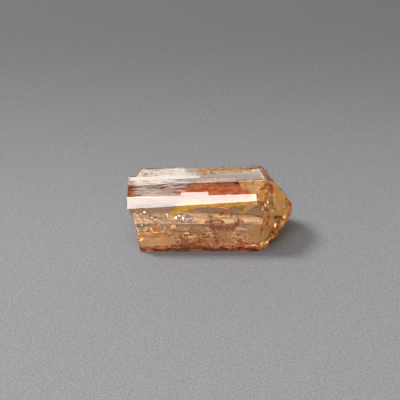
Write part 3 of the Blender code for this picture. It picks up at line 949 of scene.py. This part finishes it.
# %% [markdown]
# ## The studio floor
# The crystal lies on a matt floor that is flat near it and sweeps up far away, so no horizon
# shows. A flat plane would end in a hard line. The floor has a fine grain and grows darker
# towards the back, and its raised rim glows, strongly on the left and weakly on the right,
# as white walls do beside a window.

# %% The floor's finish
SWEEP_HEIGHT = 320 * MM
FLOOR_GRAIN = 0.22 * MM
GRAIN_HEIGHT = 0.03 * MM
DARK_GREY, LIGHT_GREY = (0.160, 0.164, 0.173, 1), (0.238, 0.243, 0.254, 1)
BLACK = (0.0, 0.0, 0.0, 1)
FLOOR_SPLIT = (0.30, 0.70)
FADE_FROM, FADE_TO, FADE_SHARE = -10 * MM, 90 * MM, 0.40
ASIDE = (50 * MM, 400 * MM)
GLOW_RISE = (0.0, 0.3 * SWEEP_HEIGHT)
WALL_GLOW, LEFT_WALL_GLOW, RIGHT_WALL_GLOW = 0.78, 1.4, 0.2


def floor_finish():
    material, graph = new_finish("studio floor")
    place = graph.node("ShaderNodeTexCoord").out("Object")
    sideways, back, height = [graph.part(place, axis) for axis in "XYZ"]
    grain = graph.noise(place, FLOOR_GRAIN, detail=2.0)
    tone = graph.blend(graph.ease(grain, *FLOOR_SPLIT), DARK_GREY, LIGHT_GREY)
    tone = graph.blend(graph.ease(back, FADE_FROM, FADE_TO) * FADE_SHARE, tone, BLACK)
    bump = graph.node("ShaderNodeBump", None,
                      {"Strength": 0.3, "Distance": GRAIN_HEIGHT, "Height": grain})
    glow, left_glow, right_glow = [(share, share, share, 1) for share in
                                   (WALL_GLOW, LEFT_WALL_GLOW, RIGHT_WALL_GLOW)]
    glow = graph.blend(graph.ease(0 - sideways, *ASIDE), glow, left_glow)
    glow = graph.blend(graph.ease(sideways, *ASIDE), glow, right_glow)
    glow = graph.blend(graph.ease(height, *GLOW_RISE), BLACK, glow)
    surface = graph.node("ShaderNodeBsdfPrincipled", None,
                         {"Base Color": tone, "Roughness": 0.85, "Normal": bump,
                          "Specular IOR Level": 0.2, "Emission Color": glow,
                          "Emission Strength": 1.0})
    graph.node("ShaderNodeOutputMaterial", None, {"Surface": surface})
    print(material.name, "has", len(material.node_tree.nodes), "nodes")
    return material


FLOOR_FINISH = floor_finish()

# %% [markdown]
# ## The swept floor's shape
# A disc of rings is the simplest mesh that looks the same from every side. The inner rings
# are flat, and the outer ones climb a quarter circle. It lies a hair below the stone's
# lowest points, so the two never fight for the same pixel.

# %% The floor
FLOOR_DROP = 0.03 * MM
FLAT_RADIUS, SWEEP_RADIUS = 350 * MM, 600 * MM
SWEEP_STEPS = 8
SIDES = 64


def swept_floor():
    radii = [50 * MM, 150 * MM, FLAT_RADIUS]
    heights = [0.0, 0.0, 0.0]
    for step in range(1, SWEEP_STEPS + 1):
        turn = step / SWEEP_STEPS * math.pi / 2
        radii.append(FLAT_RADIUS + (SWEEP_RADIUS - FLAT_RADIUS) * math.sin(turn))
        heights.append(SWEEP_HEIGHT * (1 - math.cos(turn)))
    places = [(0.0, 0.0, -FLOOR_DROP)]
    for radius, height in zip(radii, heights):
        for side in range(SIDES):
            turn = side / SIDES * 2 * math.pi
            places.append((radius * math.cos(turn), radius * math.sin(turn),
                           height - FLOOR_DROP))
    faces = [(0, 1 + side, 1 + (side + 1) % SIDES) for side in range(SIDES)]
    for inner in range(len(radii) - 1):
        for side in range(SIDES):
            a = 1 + inner * SIDES + side
            b = 1 + inner * SIDES + (side + 1) % SIDES
            faces.append((a, a + SIDES, b + SIDES, b))
    mesh = bpy.data.meshes.new("studio_floor")
    mesh.from_pydata(places, [], faces)
    mesh.polygons.foreach_set("use_smooth", [True] * len(mesh.polygons))
    return new_object("studio_floor", mesh)


floor = swept_floor()
floor.data.materials.append(FLOOR_FINISH)
print("floor of", len(floor.data.polygons), "faces")

# %% [markdown]
# ## The lights
# A crystal shows what it mirrors. One narrow softbox in front stands just where the bevelled
# face mirrors it, so that face turns white. The key softbox, high on the left, lights the
# floor and throws the shadow to the right, and a faint strip behind edges the crest. Each is
# rated by how bright its mirror image looks, so a light can be made smaller and stay as bright.

# %% Three softboxes
LOOK_AT = Vector((0.0, 0.0, 4.4 * MM))


def softbox(name, place, width, depth, brightness, tint):
    """An area light that faces the crystal; brightness is what a mirror of it would show."""
    lamp = bpy.data.lights.new(name, "AREA")
    lamp.shape = "RECTANGLE"
    lamp.size = width
    lamp.size_y = depth
    lamp.energy = brightness * math.pi * width * depth
    lamp.color = tint
    holder = new_object(name, lamp)
    holder.location = place
    holder.rotation_euler = (LOOK_AT - Vector(place)).to_track_quat("-Z", "Y").to_euler()
    print(name, "of", round(lamp.energy, 3), "watts")


softbox("front softbox", place=(-0.032, -0.095, 0.182), width=0.11, depth=0.048,
        brightness=12.5, tint=(1.0, 0.94, 0.93))
softbox("key softbox", place=(-0.46, 0.04, 0.63), width=0.18, depth=0.18,
        brightness=60.0, tint=(1.0, 0.98, 0.96))
softbox("back softbox", place=(0.0, 0.266, 0.143), width=0.30, depth=0.037,
        brightness=1.7, tint=(1.0, 0.92, 0.84))

# %% [markdown]
# ## The room
# Plain faces look dead without something to mirror, and the real room is never one grey. The
# sky is a ramp from mid grey below, over a dark band that gives clear faces their dark edges,
# to a paler top, and it dims towards the right. A panorama of a real room could do the same,
# but a ramp needs no picture and is easy to change.

# %% The sky
SKY_GREYS = [(0.0, 0.4), (0.47, 0.4), (0.55, 0.14), (0.80, 0.2), (0.9, 0.5)]
RIGHT_DIM, DIM_FROM, DIM_TO = 0.7, 0.1, 0.7
room = bpy.data.worlds.new("room")
bpy.context.scene.world = room
room.use_nodes = True
room.node_tree.nodes.clear()
sky = Graph(room.node_tree)
toward = sky.node("ShaderNodeTexCoord").out("Generated")
dome = sky.node("ShaderNodeValToRGB",
                {"stops": [(height, (grey, grey, grey)) for height, grey in SKY_GREYS]},
                {0: sky.part(toward, "Z")})
shade = 1 - RIGHT_DIM * sky.ease(sky.part(toward, "X"), DIM_FROM, DIM_TO)
backdrop = sky.node("ShaderNodeBackground", None, {0: dome, "Strength": shade})
sky.node("ShaderNodeOutputWorld", None, {0: backdrop})
print("sky from", SKY_GREYS[0][1], "over", min(grey for _, grey in SKY_GREYS), "to",
      SKY_GREYS[-1][1])

# %% [markdown]
# ## The camera
# The crystal is looked at from the front and a little above, through a long lens, which keeps
# its parallel edges parallel. Light crosses many faces inside a clear stone, so it is given
# more bounces than a plain scene needs, or the depths would turn black.

# %% Look through a long lens
VIEW_HEIGHT = math.radians(25)
VIEW_DISTANCE = 220.8 * MM
AIM_LEFT, AIM_UP = 1.49 * MM, 0.55 * MM
LENS, SENSOR = 150, 36


def set_camera():
    up = Vector((0, math.sin(VIEW_HEIGHT), math.cos(VIEW_HEIGHT)))
    away = Vector((0, -math.cos(VIEW_HEIGHT), math.sin(VIEW_HEIGHT)))
    aim = LOOK_AT + Vector((-AIM_LEFT, 0, 0)) + up * AIM_UP
    lens = bpy.data.cameras.new("camera")
    lens.lens = LENS
    lens.sensor_width = SENSOR
    lens.clip_start = 1 * MM
    holder = new_object("camera", lens)
    holder.location = aim + away * VIEW_DISTANCE
    holder.rotation_euler = (-away).to_track_quat("-Z", "Y").to_euler()
    bpy.context.scene.camera = holder
    print("camera", round(VIEW_DISTANCE / MM), "mm away with a", LENS, "mm lens")


set_camera()
bpy.context.scene.view_settings.view_transform = "Standard"
paths = bpy.context.scene.cycles
paths.max_bounces = 24
paths.transmission_bounces = 20
paths.glossy_bounces = 16
paths.diffuse_bounces = 4
